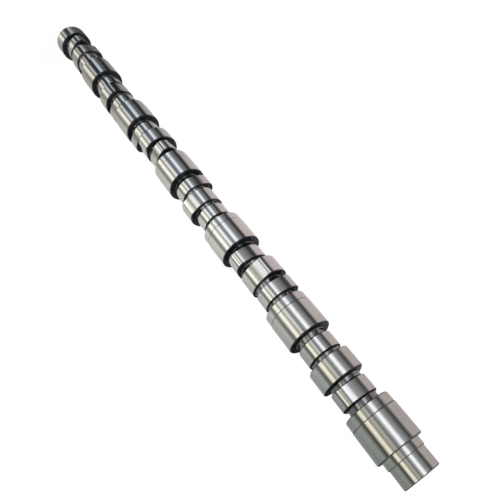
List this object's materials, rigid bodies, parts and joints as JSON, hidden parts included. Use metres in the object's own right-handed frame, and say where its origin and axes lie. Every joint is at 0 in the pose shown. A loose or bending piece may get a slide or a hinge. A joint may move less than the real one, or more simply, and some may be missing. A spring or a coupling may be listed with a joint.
{
  "type": "camshaft",
  "caption": "One-piece steel camshaft: wide bearing journals with two valve lobes and one injector lobe between each pair, and a plain gear seat at one end.",
  "frame": {"origin": "centre of the rear end face, on which the shaft stands", "axes": "+Z along the shaft towards the gear seat; +X halves the angle between the two valve lobes of cylinder 1, next to the gear seat"},
  "size_m": [0.0636, 0.0634, 1.0565],
  "materials": {
    "ground_steel": "ground"
  },
  "bodies": {
    "root": {"camshaft": "ground_steel"}
  },
  "joints": []
}
